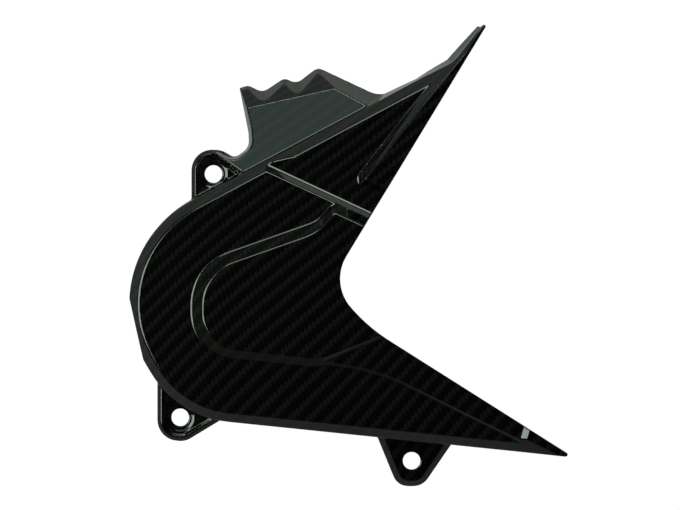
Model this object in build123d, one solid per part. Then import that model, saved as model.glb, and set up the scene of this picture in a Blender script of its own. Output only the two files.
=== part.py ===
from build123d import *
from math import cos, radians, sin, tan
import os

# Motorcycle sprocket cover: one moulded carbon-fibre laminate shell.
# Lengths are millimetres and angles are degrees. The cover lies on its back: the mounting side faces down,
# +Z leaves the visible face, +Y points to the upper arm and +X to the open side of the notch.
# The origin is the axis of the front upper fixing hole on the underside of its ear.

# Driving dimensions: laminate and heights above the mounting plane
laminate = 2.0
panel_top = 26.0
plateau_rise = 4.2
lower_rise = 1.9
pad_rise = 1.4
rim_depth = 4.0
headroom = 10.0

# Driving dimensions: slopes, measured from the horizontal, and drafts, measured from the vertical
bevel_width = 5.1
bevel_root = 7.65
bevel_slope = 45.0
step_slope = 45.0
band_slope = 49.0
pad_slope = 25.0
wall_draft = 5.0
hood_draft = 22.5
hood_side_draft = 8.0
hood_tilt = 12.0
hood_fall = 45.0
arm_rise = 22.0

# Driving dimensions: belt groove across the upper arm
groove_near = 4.25
groove_far = 8.6
groove_depth = 4.0
groove_radius = 4.0
groove_slope = 45.0
groove_length = 120.0
groove_overrun = 40.0
groove_headroom = 12.0

# Driving dimensions: ears and fixings
hole_radius = 4.5
drill_length = 14.0
seat_radius = 7.0
seat_depth = 0.5
pocket_depth = 1.0
pocket_margin = 0.3
ear_slope = 45.0
ear_band = 2.3
rear_band = 3.4

# Driving dimensions: edge rounding
bevel_radius = 1.6
step_radius = 1.0
nose_radius = 1.5
least_radius = 0.4

# Places of the three fixing holes
front_hole = (0.0, 0.0)
lower_hole = (-17.1, -125.0)
rear_hole = (101.8, -147.3)

# Outline of the case at the foot of its bevel: two corners of the round end, and its straight sides
bottom_far = (235.0, -148.8)
round_low = (-17.15, -122.9)
round_high = (-64.2, -43.2)
diagonal_far = (235.0, 116.0)
round_low_radius = 52.0
round_high_radius = 58.9
tip_corner = (121.5, 55.5)
tip_corner_radius = 15.0
tip_far = (165.0, 111.0)

# Flat relief on the left of the round end
relief_start = (-40.8, -64.2)
relief_end = (-34.4, -92.6)

# Outline of the notch, beyond which the laminate is trimmed away
notch_upper_far = (168.8, 123.4)
notch_corner = (59.9, -56.0)
notch_lower = (79.9, -78.1)
notch_lower_far = (245.6, -182.9)
notch_radius = 21.6
notch_lower_radius = 86.8
notch_reach = 300.0
arm_overrun = 60.0

# Belt groove: the crease on its lower-left side
groove_start = (28.1, 0.1)
groove_end = (62.8, -16.0)

# Inner plateau, from its upper corner round to the branch at the bottom: its top edge, and its slope's foot
plateau_edge = [(62.0, -20.6), (53.3, -30.9), (-3.3, -50.8), (-3.3, -87.2), (55.0, -93.2), (105.0, -73.6)]
plateau_edge_radius = [2.0, 36.0, 22.4, 18.4, 14.0, 0.0]
plateau_foot = [(61.7, -15.6), (54.5, -24.2), (-9.3, -46.7), (-9.3, -91.4), (54.3, -97.9), (106.5, -77.5)]
plateau_foot_radius = [3.0, 31.0, 28.0, 25.0, 10.0, 0.0]
plateau_reach = 45.0

# Top outline of the lower arm's panel, and the place under the plateau that it is drawn back to
lower_start = (45.0, -93.0)
lower_bend = (83.5, -98.4)
lower_far = (205.0, -157.9)
lower_back = (45.0, -72.0)
lower_bend_radius = 100.0
step_root = 6.0

# Top outline of the band along the upper arm's right edge
band_foot = (77.4, -3.7)
band_middle = (105.0, 31.5)
band_high = (127.0, 58.5)
band_far = (152.0, 99.0)
band_outer = (175.0, 96.0)
band_exit = (115.0, -20.0)
band_radius = [0.0, 0.5, 60.0, 30.0, 0.0, 0.0]
band_depth = 11.0

# Raised pad at the lower tip
pad_low = (157.6, -135.2)
pad_high = (161.0, -124.0)

# Hood on the upper edge: its fold lines, its wavy rim, and the bounds beyond which the case hides it
hood_base_start = (14.0, 0.8)
hood_base_end = (80.6, 36.3)
hood_base_height = 17.5
hood_fold_start = (16.8, 32.9)
hood_fold_end = (62.8, 42.9)
hood_wave = [(12.2, 44.6), (17.6, 46.3), (25.1, 42.7), (36.3, 50.2), (42.4, 47.1), (53.4, 55.6), (84.0, 41.3)]
hood_wave_radius = [1.6, 4.0, 5.0, 4.0, 5.0, 4.5, 12.0]
hood_wave_right = (100.0, 44.0)
hood_wave_left = (-20.0, 40.0)
hood_side = [(-20.0, 6.1), (2.0, 12.9), (10.9, 8.7), (17.9, 14.2), (17.6, 21.5), (12.8, 45.5)]
hood_side_radius = [0.0, 6.0, 4.5, 6.0, 12.0, 0.0]
hood_step_start = (4.7, 8.1)
hood_step_end = (14.0, 0.9)
hood_step_height = 15.0
hood_headroom = 1.0
hood_low = -10.0
hood_high = 80.0

# Ears: silhouette corners of each, and the radii of those corners
front_ear = [(-11.4, -30.0), (-11.4, 13.0), (4.0, 12.4), (22.0, 2.0), (22.0, -30.0)]
front_ear_radius = [0.0, 10.6, 9.0, 0.0, 0.0]
lower_ear = [(-28.9, -95.0), (-28.9, -136.3), (-14.5, -137.5), (4.0, -126.3), (4.0, -95.0)]
lower_ear_radius = [0.0, 10.8, 9.5, 0.0, 0.0]
rear_ear = [(82.0, -130.0), (94.6, -160.8), (107.6, -160.8), (126.0, -134.0), (118.0, -125.0)]
rear_ear_radius = [0.0, 8.0, 9.0, 0.0, 0.0]

# Flare of the wall under the upper tip, from its crease down to its rim
flare_crease = [(78.0, 32.4), (106.0, 47.4), (121.5, 55.5), (141.0, 80.3), (160.0, 70.0), (100.0, 15.0)]
flare_rim = [(76.0, 36.0), (104.0, 49.6), (117.6, 60.2), (134.2, 84.0), (160.0, 70.0), (100.0, 15.0)]

# Where the rim of each arm starts to rise, and the centre of each rounded tip
upper_rise_start = (95.0, 45.0)
upper_nose = (136.4, 71.8)
lower_rise_start = (131.0, -138.0)
lower_nose = (177.2, -140.9)

# Heights worked out from the driving dimensions
plateau_top = panel_top + plateau_rise
lower_top = panel_top + lower_rise
pad_top = lower_top + pad_rise
bevel_foot = panel_top - bevel_width * tan(radians(bevel_slope))
rim = -rim_depth
roof = plateau_top + headroom
pocket_floor = laminate + seat_depth
ear_top = pocket_floor + pocket_depth


def outline(corners, radii, height):
    """Closed flat face with rounded corners at a height."""
    edge = FilletPolyline(*corners, radius=radii, close=True)
    return Pos(0, 0, height) * make_face(edge)


def grown(face, amount):
    """Flat face grown outward, or shrunk where the amount is negative."""
    if abs(amount) < 1e-6:
        return face
    return offset(face, amount=amount, kind=Kind.INTERSECTION)


def skin_shift(inset, slope):
    """How far an edge moves in plan when the flat above and the slope below both move in by an inset."""
    return inset * tan(radians(slope / 2))


def frustum(top, depth, slope):
    """Solid under a flat top outline whose sides fall outward at a slope."""
    base = Pos(0, 0, -depth) * grown(top, depth / tan(radians(slope)))
    return extrude(base, amount=depth, taper=90 - slope)


def rounded(solid, radius, inset):
    """Round the upper edges of the visible skin; the folds behind it stay sharp."""
    return solid if inset else fillet(solid.faces().sort_by(Axis.Z)[-1].edges(), radius)


def stepped(corners, radii, top, depth, slope, inset):
    """Raised panel of the skin, or of the surface that lies an inset below it."""
    face = grown(outline(corners, radii, top - inset), -skin_shift(inset, slope))
    return rounded(frustum(face, depth, slope), step_radius, inset)


def tilted_plane(start, end, angle):
    """Plane through a line in space that falls to the left of the line's direction at an angle."""
    line = (Vector(*end) - Vector(*start)).normalized()
    left = Vector(-line.Y, line.X, 0).normalized()
    fall = left * cos(radians(angle)) - Vector(0, 0, sin(radians(angle)))
    return Plane(origin=start, x_dir=line, z_dir=line.cross(fall))


def under(solid, plane, inset):
    """Keep what lies below a plane that is moved down by an inset."""
    return split(solid, bisect_by=plane.offset(-inset), keep=Keep.BOTTOM)


def case(inset):
    """Flat panel with its bevel, before the raised panels are added."""
    corners = [bottom_far, round_low, round_high, diagonal_far]
    radii = [0, round_low_radius, round_high_radius, 0]
    top = grown(outline(corners, radii, panel_top), -bevel_width)
    top = Pos(0, 0, -inset) * grown(top, -skin_shift(inset, bevel_slope))
    bevel = rounded(frustum(top, bevel_root, bevel_slope), bevel_radius, inset)
    foot = bevel.faces().sort_by(Axis.Z)[0]
    return bevel + extrude(foot, amount=foot.center().Z - rim, dir=(0, 0, -1))


def wall(inset):
    """Drafted wall that trims the bevel, with the flat relief on its left."""
    corners = [bottom_far, round_low, round_high, tip_corner, tip_far]
    radii = [0, round_low_radius, round_high_radius, tip_corner_radius, 0]
    spread = (bevel_foot - rim) * tan(radians(wall_draft)) - inset / cos(radians(wall_draft))
    base = grown(outline(corners, radii, rim), spread)
    solid = extrude(base, amount=roof - rim, taper=wall_draft)
    flat = tilted_plane((*relief_end, bevel_foot), (*relief_start, bevel_foot), 90 - wall_draft)
    return under(solid, flat, inset)


def groove(inset):
    """Groove across the upper arm, with a rounded bottom."""
    line = Vector(groove_end[0] - groove_start[0], groove_end[1] - groove_start[1], 0).normalized()
    origin = Vector(groove_start[0], groove_start[1], panel_top - inset) - line * groove_overrun
    section = Plane(origin=origin, x_dir=Vector(-line.Y, line.X, 0), z_dir=line)
    near = skin_shift(inset, groove_slope)
    width = groove_near + groove_far
    corners = [(-near, 0), (groove_near - near, -groove_depth), (width + near / 2, 0),
               (width, groove_headroom), (0, groove_headroom)]
    face = section * make_face(FilletPolyline(*corners, radius=[0, groove_radius, 0, 0, 0], close=True))
    return extrude(face, amount=groove_length)


def lower_step(top, inset):
    """Step along the lower arm to its tip, raised to a height between the same sloped sides."""
    corners = [lower_start, lower_bend, lower_far, (lower_far[0], lower_back[1]), lower_back]
    radii = [0, lower_bend_radius, 0, 0, 0]
    shrink = (top - lower_top) / tan(radians(step_slope)) + skin_shift(inset, step_slope)
    face = grown(outline(corners, radii, top - inset), -shrink)
    return rounded(frustum(face, top - panel_top + step_root, step_slope), step_radius, inset)


def tip_pad(inset):
    """Raised pad at the lower tip, with a gentle slope up to it."""
    crest = [(*point, pad_top) for point in (pad_low, pad_high)]
    return under(lower_step(pad_top, inset), tilted_plane(*crest, pad_slope), inset)


def edge_band(inset):
    """Band along the right edge of the upper arm."""
    corners = [band_exit, band_foot, band_middle, band_high, band_far, band_outer]
    return stepped(corners, band_radius, plateau_top, band_depth, band_slope, inset)


def left_turn(before, corner, after):
    """Angle in degrees by which an outline turns left at a corner."""
    return (corner - before).get_signed_angle(after - corner, Vector(0, 0, 1))


def moved_outline(corners, radii, move, height):
    """Outline moved inward: outer corners tighten, hollow ones open as far as their sides allow."""
    points = [Vector(*corner) for corner in corners]
    count = len(points)
    turns = [left_turn(points[i - 1], points[i], points[(i + 1) % count]) for i in range(count)]
    facing = 1 if sum(turns) > 0 else -1
    moved = []
    for i, here in enumerate(points):
        arrive = (here - points[i - 1]).normalized()
        leave = (points[(i + 1) % count] - here).normalized()
        inward = Vector(-arrive.Y - leave.Y, arrive.X + leave.X) * facing
        moved.append(here + inward * (move / (1 + arrive.dot(leave))))
    sizes = []
    for i, here in enumerate(moved):
        side = min((here - moved[i - 1]).length, (moved[(i + 1) % count] - here).length)
        # The arcs at both ends of a side share it, each with a little less than half
        largest = 0.48 * side / tan(radians(abs(turns[i]) / 2))
        wanted = radii[i] - move if turns[i] * facing > 0 else radii[i] + move
        sizes.append(min(max(wanted, least_radius), largest) if radii[i] > 0 else 0)
    wire = Wire(FilletPolyline(*[(p.X, p.Y) for p in moved], radius=sizes, close=True).edges())
    return Pos(0, 0, height) * wire


def plateau(inset):
    """Inner plateau: its upper end runs beside the groove and its lower side branches off."""
    line = Vector(groove_end[0] - groove_start[0], groove_end[1] - groove_start[1]).normalized()
    shift = skin_shift(inset, step_slope)
    wires = []
    for corners, radii, height in ((plateau_foot, plateau_foot_radius, panel_top),
                                   (plateau_edge, plateau_edge_radius, plateau_top)):
        reach = Vector(*corners[0]) + line * plateau_reach
        wires.append(moved_outline([(reach.X, reach.Y)] + corners, [0] + radii, shift, height - inset))
    return rounded(Solid.make_loft(wires, ruled=True), step_radius, inset)


def body(inset):
    """Everything that the wall bounds."""
    solid = case(inset) - groove(inset)
    solid = solid + plateau(inset) + lower_step(lower_top, inset) + tip_pad(inset) + edge_band(inset)
    return solid & wall(inset)


def drafted_loft(corners, radii, high, draft, inset):
    """Solid from the rim up to a height between an outline and its drafted copy."""
    wires = []
    for height in (rim, high):
        move = (height - rim) * tan(radians(draft)) + inset / cos(radians(draft))
        wires.append(moved_outline(corners, radii, move, height))
    return Solid.make_loft(wires, ruled=True)


def hood_height(point):
    """Height of the hood's tilted panel above a point of the plan."""
    line = Vector(*hood_base_end) - Vector(*hood_base_start)
    away = line.normalized().cross(Vector(*point) - Vector(*hood_base_start)).Z
    return hood_base_height - away * tan(radians(hood_tilt))


def hood(inset):
    """Hood on the upper edge: tilted panel, steeper fall and wavy drafted rim."""
    high = hood_base_height + hood_headroom
    left, right = hood_wave_left[0], hood_wave_right[0]
    corners = [(right, hood_low), hood_wave_right] + hood_wave[::-1] + [hood_wave_left, (left, hood_low)]
    radii = [0, 0] + hood_wave_radius[::-1] + [0, 0]
    waves = drafted_loft(corners, radii, high, hood_draft, inset)
    upper = [(right, hood_high), (hood_side[-1][0], hood_high)]
    corners = [(left, hood_low), (right, hood_low)] + upper + hood_side[::-1]
    radii = [0, 0, 0, 0] + hood_side_radius[::-1]
    solid = waves & drafted_loft(corners, radii, high, hood_side_draft, inset)
    base = [(*point, hood_base_height) for point in (hood_base_start, hood_base_end)]
    solid = under(solid, tilted_plane(*base, hood_tilt), inset)
    fold = [(*point, hood_height(point)) for point in (hood_fold_start, hood_fold_end)]
    solid = under(solid, tilted_plane(*fold, hood_fall), inset)
    step = [(*point, hood_step_height) for point in (hood_step_end, hood_step_start)]
    return under(solid, tilted_plane(*step, 90 - hood_side_draft), inset)


def ear(corners, radii, top, band, inset):
    """Ear: a low flat top with a sloped band round it; the surface behind the top is the mounting plane."""
    drop = top if inset else 0
    spread = drop / tan(radians(ear_slope)) - inset / sin(radians(ear_slope))
    crest = grown(outline(corners, radii, top - drop), spread - band)
    side = extrude(grown(outline(corners, radii, rim), -inset), amount=top - drop - rim)
    return frustum(crest, top - drop - rim, ear_slope) & side


def pocketed(block, corners, radii, place):
    """Ear with its floor sunk behind a raised rim, and with a round seat sunk in the floor."""
    floor = grown(outline(corners, radii, pocket_floor), -ear_band - pocket_margin - pocket_depth)
    pocket = extrude(floor, amount=pocket_depth, taper=-ear_slope)
    standing = (Align.CENTER, Align.CENTER, Align.MIN)
    seat = Pos(*place, laminate) * Cylinder(seat_radius, ear_top, align=standing)
    return block - pocket - seat


def ears(inset):
    """The three ears; the two on the left have a pocket."""
    solid = ear(rear_ear, rear_ear_radius, laminate, rear_band, inset)
    for corners, radii, place in ((front_ear, front_ear_radius, front_hole),
                                  (lower_ear, lower_ear_radius, lower_hole)):
        block = ear(corners, radii, ear_top, ear_band, inset)
        solid = solid + (block if inset else pocketed(block, corners, radii, place))
    return solid


def flare(inset):
    """Flared wall under the upper tip."""
    wires = []
    for corners, height in ((flare_rim, rim), (flare_crease, bevel_foot)):
        face = grown(outline(corners, [0] * len(corners), height), -inset)
        wires.append(face.face().outer_wire())
    return Solid.make_loft(wires, ruled=True)


def skin(inset):
    """Solid under the visible surface, or under the surface that lies an inset behind it."""
    return body(inset) + hood(inset) + flare(inset) + ears(inset)


def notch():
    """Everything past the edge of the notch."""
    corners = [notch_upper_far, notch_corner, notch_lower, notch_lower_far, (notch_reach, notch_lower_far[1]),
               (notch_reach, notch_upper_far[1])]
    return extrude(outline(corners, [0, notch_radius, notch_lower_radius, 0, 0, 0], rim), amount=roof - rim)


def raised_rim(solid, start, nose):
    """Trim an arm's rim along a slope that rises from a place towards the arm's tip."""
    along = (Vector(*nose) - Vector(*start)).normalized()
    origin = Vector(*start, rim)
    slope = tilted_plane(origin, origin + Vector(-along.Y, along.X), arm_rise)
    return split(solid, bisect_by=slope, keep=Keep.TOP)


def rounded_tip(solid, start, nose):
    """Trim an arm round its pointed end."""
    along = (Vector(*nose) - Vector(*start)).normalized()
    end = Plane(origin=Vector(*nose, rim), x_dir=along, z_dir=Vector(0, 0, 1))
    corner = (Align.MIN, Align.CENTER, Align.MIN)
    beyond = Box(arm_overrun, arm_overrun, roof - rim, align=corner)
    beyond = beyond - Cylinder(nose_radius, roof - rim, align=(Align.CENTER, Align.CENTER, Align.MIN))
    return solid - end * beyond


def cover():
    """The whole cover: a shell of one laminate, trimmed and drilled."""
    solid = skin(0) - skin(laminate) - notch()
    for start, nose in ((upper_rise_start, upper_nose), (lower_rise_start, lower_nose)):
        solid = rounded_tip(raised_rim(solid, start, nose), start, nose)
    for place in (front_hole, lower_hole, rear_hole):
        solid = solid - Pos(*place) * Cylinder(hole_radius, drill_length)
    return solid


if __name__ == "__main__":
    os.makedirs("parts", exist_ok=True)
    solid = cover()
    print("volume", round(solid.volume), "mm3, solids", len(solid.solids()), "valid", solid.is_valid)
    export_step(solid, "parts/sprocket_cover.step")
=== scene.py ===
# %% [markdown]
# # Motorcycle sprocket cover: the looks of one moulded carbon shell
#
# The real cover is a single sheet of woven carbon cloth, pressed into a mould with resin and finished with a
# clear gloss coat. The CAD model already holds its form, so this script loads that model as a fixed frame and
# dresses it: softened folds, the woven cloth, the clear coat, and a plain studio to see them in. Everything is
# in metres, in the frame of the CAD model.

import math

import bmesh
import bpy
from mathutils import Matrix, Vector
from mathutils.bvhtree import BVHTree


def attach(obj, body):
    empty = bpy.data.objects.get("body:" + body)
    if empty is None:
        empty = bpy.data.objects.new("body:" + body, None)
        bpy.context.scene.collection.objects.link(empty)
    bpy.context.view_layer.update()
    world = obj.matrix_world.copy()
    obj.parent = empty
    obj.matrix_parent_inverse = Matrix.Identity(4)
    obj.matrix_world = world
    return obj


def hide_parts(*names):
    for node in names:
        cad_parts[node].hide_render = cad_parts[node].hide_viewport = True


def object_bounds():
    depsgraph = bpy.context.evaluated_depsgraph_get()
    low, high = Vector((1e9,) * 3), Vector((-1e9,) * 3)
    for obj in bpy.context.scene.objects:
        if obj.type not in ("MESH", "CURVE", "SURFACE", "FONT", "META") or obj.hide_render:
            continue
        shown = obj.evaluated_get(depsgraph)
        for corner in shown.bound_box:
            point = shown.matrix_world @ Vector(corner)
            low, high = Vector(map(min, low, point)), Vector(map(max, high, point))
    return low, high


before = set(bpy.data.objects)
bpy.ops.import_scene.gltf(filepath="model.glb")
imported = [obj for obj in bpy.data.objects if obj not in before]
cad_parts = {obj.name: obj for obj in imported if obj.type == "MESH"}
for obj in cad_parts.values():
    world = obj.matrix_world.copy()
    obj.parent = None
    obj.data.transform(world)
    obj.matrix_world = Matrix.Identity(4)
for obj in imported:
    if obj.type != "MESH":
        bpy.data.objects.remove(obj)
cad_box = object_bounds()
cad_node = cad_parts["sprocket_cover"]
print("CAD box, mm:", [[round(1000 * c, 1) for c in corner] for corner in cad_box])

# %% [markdown]
# ## The shell's softened folds
#
# Cloth can't be folded to a knife edge, so every fold of a laminate is rounded by a millimetre or so, on the
# hollow side as well as on the crest, and those soft folds carry the bright lines of a gloss moulding. Bevelling
# the edges one by one trips over the short ones where many folds meet. So the CAD mesh is rebuilt here as an
# even grid of small faces, relaxed until its folds soften, and thinned again where it is flat.

# %% Take the CAD mesh as one closed skin
seam_gap = 2e-6


def welded_copy(node):
    """The CAD mesh as one closed skin, without the seams between its faces."""
    mesh = node.data.copy()
    work = bmesh.new()
    work.from_mesh(mesh)
    bmesh.ops.remove_doubles(work, verts=work.verts, dist=seam_gap)
    work.to_mesh(mesh)
    work.free()
    return mesh


skin = welded_copy(cad_node)
print("CAD skin:", len(skin.vertices), "corners,", len(skin.polygons), "faces")

# %% Rebuild the skin as an even grid and relax it
grid_step = 0.0004
relax_strength, relax_rounds = 0.5, 16
kept_share = 0.17


def softened(mesh, name):
    """A new object whose mesh is the given one with its folds rounded."""
    draft = bpy.data.objects.new("draft", mesh)
    bpy.context.scene.collection.objects.link(draft)
    grid = draft.modifiers.new("grid", "REMESH")
    grid.mode, grid.voxel_size = "VOXEL", grid_step
    relax = draft.modifiers.new("relax", "SMOOTH")
    relax.factor, relax.iterations = relax_strength, relax_rounds
    thin = draft.modifiers.new("thin", "DECIMATE")
    thin.ratio = kept_share
    draft.update_tag()
    evaluated = draft.evaluated_get(bpy.context.evaluated_depsgraph_get())
    result = bpy.data.meshes.new_from_object(evaluated)
    bpy.data.objects.remove(draft)
    result.name = name
    piece = bpy.data.objects.new(name, result)
    bpy.context.scene.collection.objects.link(piece)
    return piece


shell = softened(skin, "carbon_shell")
shell.data.polygons.foreach_set("use_smooth", [True] * len(shell.data.polygons))
print("shell:", len(shell.data.vertices), "corners,", len(shell.data.polygons), "faces")

# %% [markdown]
# The CAD mesh draws a round wall as a row of narrow flats, and a gloss coat would show them. Its stored normals
# still follow the true curve, so the shell borrows them wherever its own normal agrees with them to within a few
# degrees. At the softened folds the two differ, and there the shell keeps its own.

# %% Make the CAD mesh searchable and read its true normals


def search_tree(mesh):
    """A tree that finds the nearest face of a mesh, or the one that a ray meets."""
    return BVHTree.FromPolygons([v.co for v in mesh.vertices], [tuple(p.vertices) for p in mesh.polygons])


def true_normal(mesh, index, point):
    """The stored normal of one CAD face at a point on it."""
    corners = list(mesh.polygons[index].loop_indices)
    places = [mesh.vertices[mesh.loops[c].vertex_index].co for c in corners]
    areas = [(places[i - 2] - point).cross(places[i - 1] - point).length for i in range(len(corners))]
    total = Vector()
    for corner, area in zip(corners, areas):
        total += mesh.corner_normals[corner].vector * area
    return total.normalized()


cad_tree = search_tree(cad_node.data)
print("CAD faces to search:", len(cad_node.data.polygons))

# %% Borrow the true normals away from the folds
same_within = math.cos(math.radians(7))
apart_beyond = math.cos(math.radians(14))


def borrow_normals(piece, mesh, tree):
    """Give the piece the CAD mesh's normals where they nearly agree with its own."""
    normals, borrowed = [], 0
    for vertex in piece.data.vertices:
        place, _, index, _ = tree.find_nearest(vertex.co)
        given = true_normal(mesh, index, place)
        agree = vertex.normal.dot(given)
        weight = min(max((agree - apart_beyond) / (same_within - apart_beyond), 0), 1)
        borrowed += weight > 0
        normals.append(vertex.normal.lerp(given, weight).normalized())
    piece.data.normals_split_custom_set_from_vertices(normals)
    return borrowed


print("normals borrowed:", borrow_normals(shell, cad_node.data, cad_tree))

# %% [markdown]
# ## Writing shader maths as Python
#
# A material is a net of nodes. One small class wraps a node's output, so that a sum or a product of outputs adds
# its own Math node, and one method of a tree makes any other node from its type, settings and sockets.

# %% A node's output that can be reckoned with


class Wire:
    """A node's output. Operators on it add Math nodes to its tree."""

    def __init__(self, tree, socket):
        self.tree, self.socket = tree, socket

    def pick(self, name):
        """Another output of the same node."""
        return Wire(self.tree, self.tree.find(self.socket.node.outputs, name))

    def maths(self, operation, *values):
        """A Math node of the same tree, with its values in order."""
        return self.tree.node("ShaderNodeMath", {"operation": operation}, dict(enumerate(values)))

    def __add__(self, other):
        return self.maths("ADD", self, other)

    def __radd__(self, other):
        return self.maths("ADD", other, self)

    def __sub__(self, other):
        return self.maths("SUBTRACT", self, other)

    def __rsub__(self, other):
        return self.maths("SUBTRACT", other, self)

    def __mul__(self, other):
        return self.maths("MULTIPLY", self, other)

    def __rmul__(self, other):
        return self.maths("MULTIPLY", other, self)

    def __truediv__(self, other):
        return self.maths("DIVIDE", self, other)

    def __rtruediv__(self, other):
        return self.maths("DIVIDE", other, self)

    def __mod__(self, other):
        return self.maths("FLOORED_MODULO", self, other)

    def __rmod__(self, other):
        return self.maths("FLOORED_MODULO", other, self)

    def __abs__(self):
        return self.maths("ABSOLUTE", self)


print("a wire knows:", "+ - * / % and abs")

# %% A tree that makes nodes


class Tree:
    """The emptied node tree of a material or of the world."""

    def __init__(self, owner):
        owner.use_nodes = True
        self.nodes, self.links = owner.node_tree.nodes, owner.node_tree.links
        self.nodes.clear()

    def find(self, sockets, name):
        """A socket by number, by its own identifier, or by the name it shows."""
        if isinstance(name, int):
            return sockets[name]
        exact = [s for s in sockets if s.identifier == name]
        return exact[0] if exact else sockets[name]

    def node(self, kind, settings=None, inputs=None):
        """Add a node: its type, then its settings, then the values or links of its sockets."""
        made = self.nodes.new(kind)
        for name, value in (settings or {}).items():
            if name == "stops":
                while len(made.color_ramp.elements) < len(value):
                    made.color_ramp.elements.new(1.0)
                for stop, (place, colour) in zip(made.color_ramp.elements, value):
                    stop.position, stop.color = place, (*colour, 1.0)
            else:
                setattr(made, name, value)
        for name, value in (inputs or {}).items():
            socket = self.find(made.inputs, name)
            if isinstance(value, Wire):
                self.links.new(value.socket, socket)
            else:
                socket.default_value = value
        return Wire(self, made.outputs[0]) if made.outputs else None


def mixed(tree, factor, first, second, blend="MIX"):
    """Two colours brought together by a Mix node."""
    inputs = {"Factor_Float": factor, "A_Color": first, "B_Color": second}
    return tree.node("ShaderNodeMix", {"data_type": "RGBA", "blend_type": blend}, inputs).pick("Result_Color")


def point(tree, x, y, z):
    """A place made from three numbers."""
    return tree.node("ShaderNodeCombineXYZ", None, {"X": x, "Y": y, "Z": z})


print("helpers ready:", mixed.__name__, "and", point.__name__)

# %% [markdown]
# ## Where the cloth lies
#
# The cloth is laid flat over the highest panels and folded down the slopes. A picture projected from above would
# stretch on every slope, so each point is looked up where the unfolded cloth would put it: its place in plan,
# moved outward along the slope by the length that the fall uses up. Hands also pull the cloth about as they
# press it in. On the real cover the long threads bow a little, and the cross threads sag by some degrees across
# the middle, so the straight counts of tows are bent in the same way.

# %% Cloth coordinates, counted in tows
tow = 0.00203
laid_height = 0.026
bow_centre, bow = -0.062, 1.3
sag_centre, sag_span, sag_slope = 0.036, 0.130, 0.16


def cloth_coordinates(tree):
    """Place on the unfolded cloth: tows counted across the long threads and across the cross threads."""
    place = tree.node("ShaderNodeTexCoord").pick("Object")
    spot = tree.node("ShaderNodeSeparateXYZ", None, {"Vector": place})
    facing = tree.node("ShaderNodeSeparateXYZ", None, {"Vector": place.pick("Normal")})
    spread = (laid_height - spot.pick("Z")) / (1 + abs(facing.pick("Z")))
    along_x = spot.pick("X") + facing.pick("X") * spread
    along_y = spot.pick("Y") + facing.pick("Y") * spread
    above = along_y - bow_centre
    u = (along_x - above * above * bow) / tow
    turn = (along_x - sag_centre) * (2 * math.pi / sag_span)
    wave = turn.maths("SINE", turn) * (sag_span / (2 * math.pi))
    v = (along_y + (along_x + wave) * (sag_slope / 2)) / tow
    return u, v


print("tow width, mm:", tow * 1000)

# %% [markdown]
# ## The 2x2 twill
#
# In a 2x2 twill each flat bundle of threads, a tow, passes over two others and under two, and each neighbour
# does the same one step further on, so the pattern climbs in diagonal ribs. Each tow gets a height: a wave along
# it that rises where it passes over, and a low crown across it. Whichever tow is higher is the one that shows,
# which also gives every float its rounded ends.

# %% Weave: which tow shows, and how high it stands
over_and_under = 4
crown = 0.45
long_start, cross_start = 1, -2
tow_middle = 0.5


def tow_height(phase, across):
    """Height of a tow from how far along its over-and-under it is and how far off its middle line."""
    wave = phase.maths("SINE", phase * (2 * math.pi / over_and_under))
    return wave + (1 - across * across / tow_middle ** 2) * crown


def twill(u, v):
    """Mask of the long tows, height of what shows, and the numbers of the two tows that cross here."""
    column, row = u.maths("FLOOR", u), v.maths("FLOOR", v)
    long_height = tow_height((column - v + long_start) % over_and_under, u - column - tow_middle)
    cross_height = tow_height((u - row + cross_start) % over_and_under, v - row - tow_middle)
    mask = long_height.maths("GREATER_THAN", long_height, cross_height)
    height = long_height.maths("MAXIMUM", long_height, cross_height)
    return mask, height, column, row


print("twill repeat, mm:", round(over_and_under * tow * 1000, 2))

# %% [markdown]
# ## Carbon under a clear coat
#
# Under the coat the long tows face the light and read dark grey, and the cross tows read almost black: this is a
# painted sheen and a painted shade, two tones of one carbon written into the base colour. Each tow is also
# painted darker towards its edges and ends, after its height. Fine threads streak each tow along its own length,
# and no two tows are quite alike. The coat itself is level and mirror smooth, so the tows' relief bends only the
# light of the layer below it.

# %% Fibres: fine streaks along whichever tow shows
fibre_count, fibre_length, fibre_detail = 14, 0.5, 2.0
tow_apart, directions_apart = 3.7, 50


def streaks(tree, u, v, mask, column, row):
    """Noise drawn out along the tow that shows; each tow draws its own."""
    long_place = point(tree, u * fibre_count, v * fibre_length, column * tow_apart)
    cross_place = point(tree, u * fibre_length, v * fibre_count, row * tow_apart + directions_apart)
    where = {"Factor_Float": mask, "A_Vector": cross_place, "B_Vector": long_place}
    where = tree.node("ShaderNodeMix", {"data_type": "VECTOR"}, where).pick("Result_Vector")
    return tree.node("ShaderNodeTexNoise", None, {"Vector": where, "Scale": 1.0, "Detail": fibre_detail})


print("streaks to a tow:", fibre_count)

# %% Carbon material
# Painted sheen and painted shade: the long tows' lighter tone and the cross tows' near black stand in for how
# the fibres catch the light.
long_tow_colour_and_painted_sheen = (0.0055, 0.0051, 0.0046, 1)
cross_tow_colour_and_painted_shade = (0.0009, 0.0008, 0.0007, 1)
relief = 0.00010
edge_shade, brightest = 0.9, 1
streak_floor, streak_range = 0.6, 0.8
coat_roughness, coat_ior = 0.03, 1.5


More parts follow.
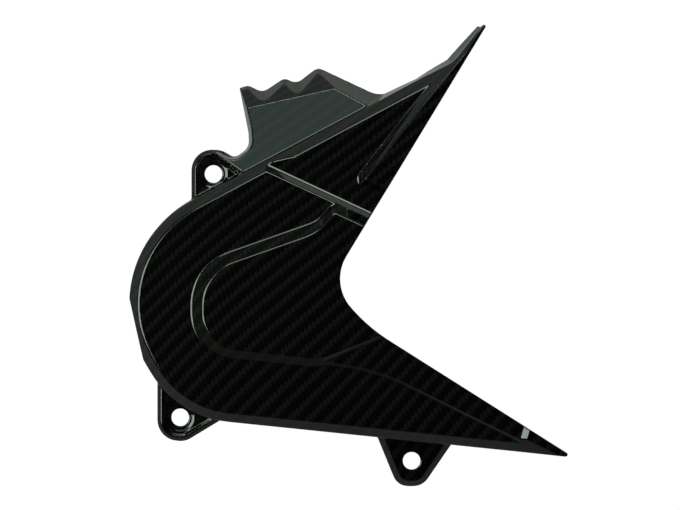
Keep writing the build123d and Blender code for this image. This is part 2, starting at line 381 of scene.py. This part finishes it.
def carbon(name, coat, roughness, shine):
    """Woven carbon with the given share of clear coat."""
    material = bpy.data.materials.new(name)
    tree = Tree(material)
    u, v = cloth_coordinates(tree)
    mask, height, column, row = twill(u, v)
    fibres = streaks(tree, u, v, mask, column, row)
    # Painted shade: the colour darkens towards each tow's edges and ends after its height, times the fibre
    # streaks.
    tow_streaks_and_painted_shade = height.maths("MINIMUM", height * edge_shade, brightest) * (streak_floor + fibres * streak_range)
    tow_streaks_and_painted_shade = tree.node("ShaderNodeCombineColor", None, {"Red": tow_streaks_and_painted_shade, "Green": tow_streaks_and_painted_shade, "Blue": tow_streaks_and_painted_shade})
    colour = mixed(tree, 1.0, mixed(tree, mask, cross_tow_colour_and_painted_shade, long_tow_colour_and_painted_sheen), tow_streaks_and_painted_shade, "MULTIPLY")
    bump = tree.node("ShaderNodeBump", None, {"Height": height, "Distance": relief, "Strength": 1.0})
    surface = tree.node("ShaderNodeBsdfPrincipled", None, {
        "Base Color": colour, "Roughness": roughness, "Specular IOR Level": shine, "Normal": bump,
        "Coat Weight": coat, "Coat Roughness": coat_roughness, "Coat IOR": coat_ior})
    tree.node("ShaderNodeOutputMaterial", None, {"Surface": surface})
    return material


shell.data.materials.clear()
shell.data.materials.append(carbon("gloss_carbon", coat=1.0, roughness=0.5, shine=0.01))
shell.data.materials.append(carbon("bare_carbon", coat=0.0, roughness=0.45, shine=0.5))
print("materials:", [m.name for m in shell.data.materials])

# %% [markdown]
# The back of a laminate never touches the polished mould. It keeps the cloth's relief under a thin satin skin of
# resin, with no clear coat. A face is on the back if it doesn't look up and the cover itself lies straight above
# it.

# %% Give the back its satin finish
clearance = 0.00005
overhead = 0.06
looks_up = 0.5
bare_slot = 1


def back_faces(piece, tree):
    """Mark the faces that have the cover above them with the satin material."""
    found = 0
    for face in piece.data.polygons:
        start = face.center + face.normal * clearance
        if face.normal.z < looks_up and tree.ray_cast(start, Vector((0, 0, 1)), overhead)[0]:
            face.material_index = bare_slot
            found += 1
    return found


print("faces on the back:", back_faces(shell, cad_tree))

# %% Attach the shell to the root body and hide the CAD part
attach(shell, "root")
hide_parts("sprocket_cover")
print(shell.name, "stands for", cad_node.name)

# %% [markdown]
# ## The floor
#
# The cover lies on white paper. The camera sees it as pure white. For the light that bounces about the cover it
# is a darker matt sheet, because bright paper would fill the steep black walls with white, and what the gloss
# mirrors of it is lifted only in part, for the same reason. The matt part that is left takes the cover's shadow.

# %% Paper
paper_glow = (1.0, 1.0, 1.0, 1)
paper_matt = (0.17, 0.18, 0.17, 1)
glow_strength, glow_share = 1.08, 0.94
mirrored_share = 0.15


def paper():
    """Paper that is white to the camera, and darker and matt to the light."""
    material = bpy.data.materials.new("white_paper")
    tree = Tree(material)
    seen = tree.node("ShaderNodeLightPath")
    lifted = seen.maths("MAXIMUM", seen.pick("Is Camera Ray"), seen.pick("Is Transmission Ray"))
    lifted = seen.maths("MAXIMUM", lifted, seen.pick("Is Glossy Ray") * mirrored_share)
    matt = tree.node("ShaderNodeBsdfDiffuse", None, {"Color": paper_matt})
    glow = tree.node("ShaderNodeEmission", None, {"Color": paper_glow, "Strength": glow_strength})
    surface = tree.node("ShaderNodeMixShader", None, {"Fac": lifted * glow_share, 1: matt, 2: glow})
    tree.node("ShaderNodeOutputMaterial", None, {"Surface": surface})
    return material


white_paper = paper()
print("paper:", white_paper.name)

# %% Floor
floor_span = 8.0


def floor_sheet():
    """A wide flat sheet under the lowest point of the cover."""
    mesh = bpy.data.meshes.new("floor")
    half = floor_span / 2
    low = cad_box[0].z
    corners = [(-half, -half, low), (half, -half, low), (half, half, low), (-half, half, low)]
    mesh.from_pydata(corners, [], [(0, 1, 2, 3)])
    mesh.materials.append(white_paper)
    sheet = bpy.data.objects.new("floor", mesh)
    bpy.context.scene.collection.objects.link(sheet)
    return sheet


floor = floor_sheet()
print("floor height, mm:", round(1000 * cad_box[0].z, 2))

# %% [markdown]
# ## The studio
#
# A black gloss part shows little but what it mirrors. Seen from straight above, its flat panels mirror the space
# round the camera, which is dark, and its slopes mirror the walls of the room. So the room is a soft gradient,
# dim above and paler at the sides. The hood's tilted panel mirrors one dim soft lamp. Two large bright ones
# stand lower, on the left and at the top: only the soft folds mirror them, as the lines that draw the shape.

# %% Room
room_tint = (0.85, 1.0, 0.87)
room_levels = [(0.0, 0.14), (0.25, 0.09), (0.6, 0.03), (1.0, 0.006)]


def room():
    """The world: dark above, paler towards the horizon."""
    world = bpy.data.worlds.new("room")
    tree = Tree(world)
    direction = tree.node("ShaderNodeTexCoord")
    up = tree.node("ShaderNodeSeparateXYZ", None, {"Vector": direction}).pick("Z")
    stops = [(place, tuple(level * c for c in room_tint)) for place, level in room_levels]
    ramp = tree.node("ShaderNodeValToRGB", {"stops": stops}, {"Fac": abs(up)})
    background = tree.node("ShaderNodeBackground", None, {"Color": ramp, "Strength": 1.0})
    tree.node("ShaderNodeOutputWorld", None, {"Surface": background})
    return world


bpy.context.scene.world = room()
print("room, horizon to zenith:", [level for _, level in room_levels])

# %% Lamps
middle_x, middle_y = 0.065, -0.0416
aim = Vector((middle_x, middle_y, 0.0))


def softbox(name, toward, tilt, distance, size, radiance, tint):
    """A soft lamp that faces the cover from a compass direction and an angle off the vertical, in degrees."""
    width, height = size
    lamp = bpy.data.lights.new(name, "AREA")
    lamp.shape, lamp.size, lamp.size_y = "RECTANGLE", width, height
    lamp.color = tint
    lamp.energy = radiance * math.pi * width * height
    around, off = math.radians(toward), math.radians(tilt)
    out = Vector((math.cos(around) * math.sin(off), math.sin(around) * math.sin(off), math.cos(off)))
    holder = bpy.data.objects.new(name, lamp)
    holder.location = aim + out * distance
    holder.rotation_euler = out.to_track_quat("Z", "Y").to_euler()
    bpy.context.scene.collection.objects.link(holder)
    print(name, "watts:", round(lamp.energy, 2))


softbox("hood_light", toward=118, tilt=26, distance=1.1, size=(0.5, 0.30), radiance=0.95,
        tint=(0.74, 1.0, 0.91))
softbox("left_strip", toward=180, tilt=40, distance=1.1, size=(0.50, 0.85), radiance=7.5,
        tint=(0.85, 1.0, 0.89))
softbox("upper_strip", toward=92, tilt=47, distance=1.2, size=(1.15, 0.45), radiance=6.5,
        tint=(0.85, 1.0, 0.90))

# %% [markdown]
# ## The camera
#
# The photograph looks straight down on the visible face from about 0.9 m above the flat panel. The lens is the
# one whose view there is as wide as the photograph, 680 pixels of half a millimetre.

# %% Camera
panel_height = 0.026
view_distance = 0.9
photo_pixels, pixel_size = 680, 0.0005
sensor_width = 36.0

camera_data = bpy.data.cameras.new("camera")
camera_data.sensor_width = sensor_width
camera_data.lens = sensor_width * view_distance / (photo_pixels * pixel_size)
camera = bpy.data.objects.new("camera", camera_data)
camera.location = (middle_x, middle_y, panel_height + view_distance)
bpy.context.scene.collection.objects.link(camera)
bpy.context.scene.camera = camera
bpy.context.scene.view_settings.view_transform = "Standard"
print("lens, mm:", round(camera_data.lens, 2))
